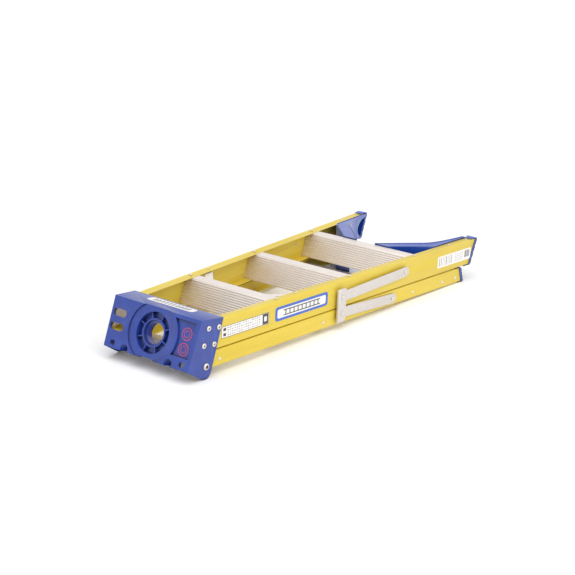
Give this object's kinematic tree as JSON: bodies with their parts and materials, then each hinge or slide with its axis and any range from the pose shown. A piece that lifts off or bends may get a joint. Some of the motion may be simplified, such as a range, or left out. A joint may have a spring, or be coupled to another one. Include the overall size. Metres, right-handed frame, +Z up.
{
  "type": "folding stepladder",
  "caption": "Folding stepladder with channel rails, ribbed treads, a moulded top cap with tool slots, a rear section and folding spreaders, lying folded.",
  "frame": {"origin": "middle of the footprint of the folded ladder, on the surface it lies on", "axes": "+X from the cap to the feet, +Y to the climber's right, +Z up, away from the rear section"},
  "size_m": [1.2662, 0.4554, 0.1627],
  "materials": {
    "moulded_blue": "fine moulded texture",
    "fibreglass": "pultruded, satin gloss",
    "aluminium": "mill finish extrusion",
    "rivet_aluminium": "formed rivet heads, satin",
    "zinc_steel": "bright zinc plate",
    "tread_rubber": "matt, ribbed"
  },
  "bodies": {
    "front_section": {"top_cap": "moulded_blue", "step_upper": "aluminium", "step_middle": "aluminium", "step_lower": "aluminium", "front_rail_right": "fibreglass", "rail_backing_right": "aluminium", "front_foot_right": "moulded_blue", "front_tread_right": "tread_rubber", "cap_rivet_right_1": "rivet_aluminium", "cap_rivet_right_2": "rivet_aluminium", "cap_rivet_right_3": "rivet_aluminium", "cap_rivet_right_4": "rivet_aluminium", "step_rivet_upper_right": "rivet_aluminium", "step_rivet_middle_right": "rivet_aluminium", "step_rivet_lower_right": "rivet_aluminium", "pivot_bolt_right": "zinc_steel", "front_arm_pin_right": "zinc_steel", "knee_brace_right": "aluminium", "arch_brace_right": "moulded_blue", "front_rail_left": "fibreglass", "rail_backing_left": "aluminium", "front_foot_left": "moulded_blue", "front_tread_left": "tread_rubber", "cap_rivet_left_1": "rivet_aluminium", "cap_rivet_left_2": "rivet_aluminium", "cap_rivet_left_3": "rivet_aluminium", "cap_rivet_left_4": "rivet_aluminium", "step_rivet_upper_left": "rivet_aluminium", "step_rivet_middle_left": "rivet_aluminium", "step_rivet_lower_left": "rivet_aluminium", "pivot_bolt_left": "zinc_steel", "front_arm_pin_left": "zinc_steel", "knee_brace_left": "aluminium", "arch_brace_left": "moulded_blue"},
    "rear_section": {"rear_crossbar_upper": "aluminium", "rear_crossbar_middle": "aluminium", "rear_crossbar_lower": "aluminium", "rear_rail_right": "fibreglass", "rear_foot_right": "moulded_blue", "rear_tread_right": "tread_rubber", "rear_arm_pin_right": "zinc_steel", "rear_brace_right": "moulded_blue", "rear_rail_left": "fibreglass", "rear_foot_left": "moulded_blue", "rear_tread_left": "tread_rubber", "rear_arm_pin_left": "zinc_steel", "rear_brace_left": "moulded_blue"},
    "spreader_front_right": {"spreader_front_arm_right": "zinc_steel"},
    "lock_plate_right": {"spreader_lock_plate_right": "zinc_steel", "front_link_pin_right": "zinc_steel", "rear_link_pin_right": "zinc_steel"},
    "spreader_rear_right": {"spreader_rear_arm_right": "zinc_steel"},
    "spreader_front_left": {"spreader_front_arm_left": "zinc_steel"},
    "lock_plate_left": {"spreader_lock_plate_left": "zinc_steel", "front_link_pin_left": "zinc_steel", "rear_link_pin_left": "zinc_steel"},
    "spreader_rear_left": {"spreader_rear_arm_left": "zinc_steel"}
  },
  "joints": [
    {"name": "fold", "type": "hinge", "parent": "front_section", "child": "rear_section", "pos_m": [-0.56746, 0, 0.03541], "axis": [0, 1, 0], "range_deg": [0, 37.58]},
    {"name": "spreader_front_pivot_right", "type": "hinge", "parent": "front_section", "child": "spreader_front_right", "pos_m": [0.25462, 0.21, 0.10297], "axis": [-0.0653, 0.9979, 0.0012], "range_deg": [-66.99, 0]},
    {"name": "lock_plate_pivot_right", "type": "hinge", "parent": "spreader_front_right", "child": "lock_plate_right", "pos_m": [-0.03705, 0.19242, 0.09545], "axis": [-0.0653, 0.9979, 0.0012], "range_deg": [0, 87.46]},
    {"name": "spreader_rear_pivot_right", "type": "hinge", "parent": "rear_section", "child": "spreader_rear_right", "pos_m": [0.20368, 0.20225, 0.03191], "axis": [-0.0653, 0.9979, 0.0012], "range_deg": [0, 70.29]},
    {"name": "spreader_front_pivot_left", "type": "hinge", "parent": "front_section", "child": "spreader_front_left", "pos_m": [0.25462, -0.21, 0.10297], "axis": [0.0653, 0.9979, -0.0012], "range_deg": [-66.99, 0]},
    {"name": "lock_plate_pivot_left", "type": "hinge", "parent": "spreader_front_left", "child": "lock_plate_left", "pos_m": [-0.03705, -0.19242, 0.09545], "axis": [0.0653, 0.9979, -0.0012], "range_deg": [0, 87.46]},
    {"name": "spreader_rear_pivot_left", "type": "hinge", "parent": "rear_section", "child": "spreader_rear_left", "pos_m": [0.20368, -0.20225, 0.03191], "axis": [0.0653, 0.9979, -0.0012], "range_deg": [0, 70.29]}
  ],
  "couplings": [
    {"joint": "spreader_front_pivot_right", "follows": "fold", "ratio": -1.7822},
    {"joint": "lock_plate_pivot_right", "follows": "fold", "ratio": 2.3268},
    {"joint": "spreader_rear_pivot_right", "follows": "fold", "ratio": 1.87},
    {"joint": "spreader_front_pivot_left", "follows": "fold", "ratio": -1.7822},
    {"joint": "lock_plate_pivot_left", "follows": "fold", "ratio": 2.3268},
    {"joint": "spreader_rear_pivot_left", "follows": "fold", "ratio": 1.87}
  ]
}
